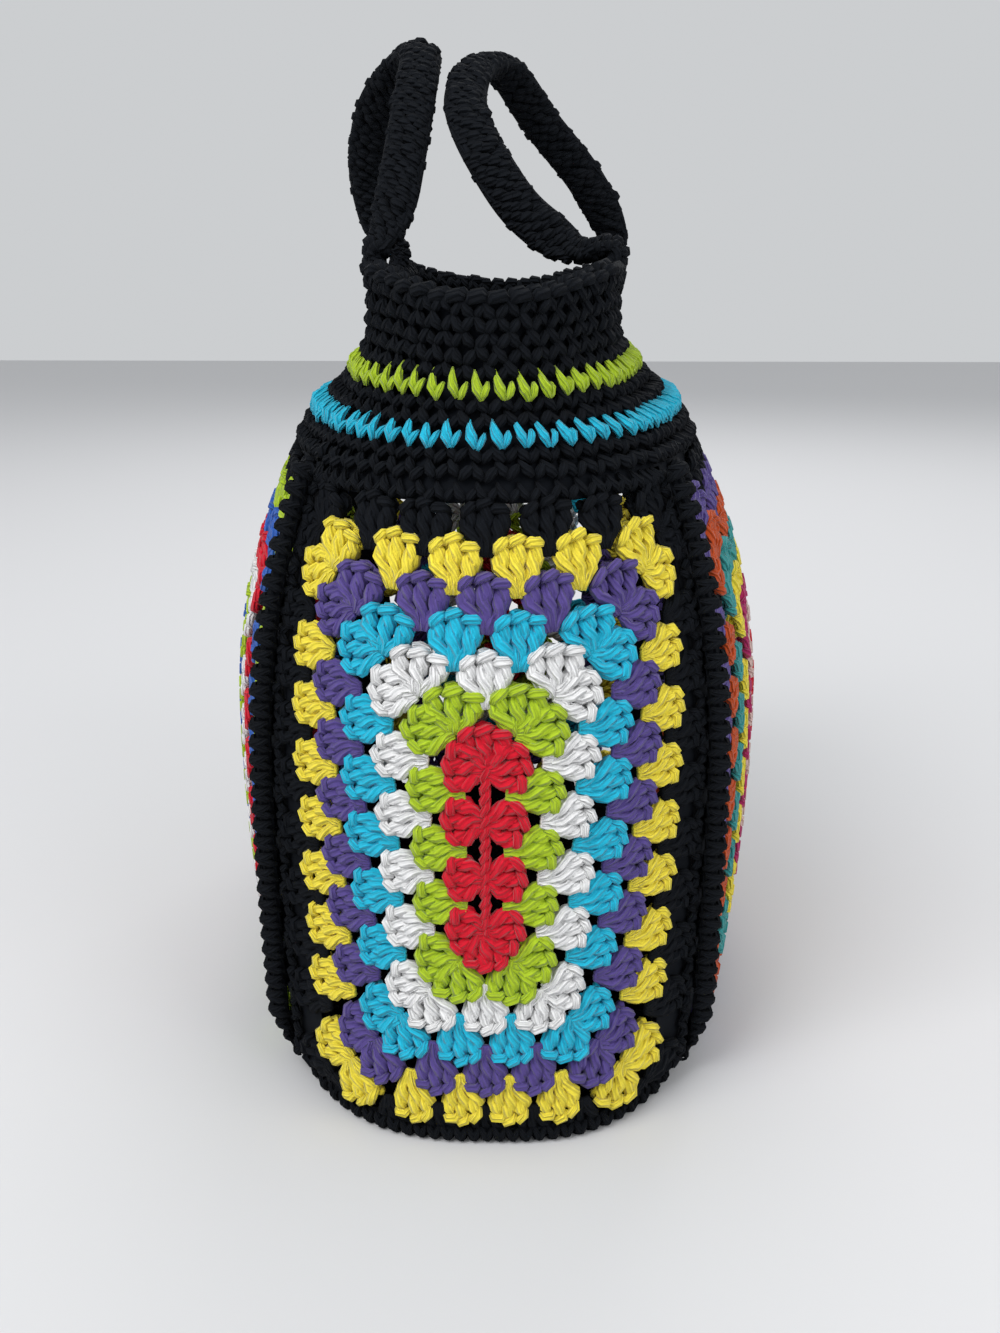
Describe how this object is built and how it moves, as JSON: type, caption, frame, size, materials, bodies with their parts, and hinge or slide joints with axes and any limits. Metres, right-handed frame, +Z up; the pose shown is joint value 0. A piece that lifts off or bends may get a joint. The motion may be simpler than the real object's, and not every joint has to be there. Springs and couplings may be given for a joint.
{
  "type": "crochet tote bag",
  "caption": "Small tote bag crocheted in bright rounds of treble clusters on black, with a gathered band at the mouth, raised seams at its corners and two short strap handles.",
  "frame": {"origin": "centre of the bag's footprint, on the table that it stands on", "axes": "+Z up; the narrow end panels face -Y and +Y, the wide side panels with the handles +X and -X"},
  "size_m": [0.1742, 0.2722, 0.306],
  "materials": {
    "black_cotton": "matt",
    "red_cotton": "matt",
    "lime_cotton": "matt",
    "white_cotton": "matt",
    "cyan_cotton": "matt",
    "purple_cotton": "matt",
    "yellow_cotton": "matt",
    "orange_cotton": "matt",
    "teal_cotton": "matt",
    "magenta_cotton": "matt",
    "pink_cotton": "matt",
    "blue_cotton": "matt"
  },
  "bodies": {
    "root": {"near_end_centre_chain": "red_cotton", "near_end_round_1_red": "red_cotton", "near_end_round_2_lime": "lime_cotton", "near_end_round_3_white": "white_cotton", "near_end_round_4_cyan": "cyan_cotton", "near_end_round_5_purple": "purple_cotton", "near_end_round_6_yellow": "yellow_cotton", "near_end_border": "black_cotton", "far_end_centre_chain": "red_cotton", "far_end_round_1_red": "red_cotton", "far_end_round_2_lime": "lime_cotton", "far_end_round_3_white": "white_cotton", "far_end_round_4_cyan": "cyan_cotton", "far_end_round_5_purple": "purple_cotton", "far_end_round_6_yellow": "yellow_cotton", "far_end_border": "black_cotton", "right_side_round_1_yellow": "yellow_cotton", "right_side_round_2_teal": "teal_cotton", "right_side_round_3_red": "red_cotton", "right_side_round_4_pink": "pink_cotton", "right_side_round_5_magenta": "magenta_cotton", "right_side_round_6_yellow": "yellow_cotton", "right_side_round_7_teal": "teal_cotton", "right_side_round_8_orange": "orange_cotton", "right_side_round_9_purple": "purple_cotton", "right_side_border": "black_cotton", "left_side_round_1_white": "white_cotton", "left_side_round_2_yellow": "yellow_cotton", "left_side_round_3_red": "red_cotton", "left_side_round_4_blue": "blue_cotton", "left_side_round_5_lime": "lime_cotton", "left_side_round_6_white": "white_cotton", "left_side_round_7_red": "red_cotton", "left_side_round_8_blue": "blue_cotton", "left_side_round_9_lime": "lime_cotton", "left_side_border": "black_cotton", "corner_seam_near_left": "black_cotton", "corner_seam_near_right": "black_cotton", "corner_seam_far_left": "black_cotton", "corner_seam_far_right": "black_cotton", "base_seam": "black_cotton", "base_panel": "black_cotton", "band_lower_rows": "black_cotton", "band_cyan_row": "cyan_cotton", "band_middle_rows": "black_cotton", "band_lime_row": "lime_cotton", "band_rim_rows": "black_cotton", "handle_left": "black_cotton", "handle_right": "black_cotton"}
  },
  "joints": []
}
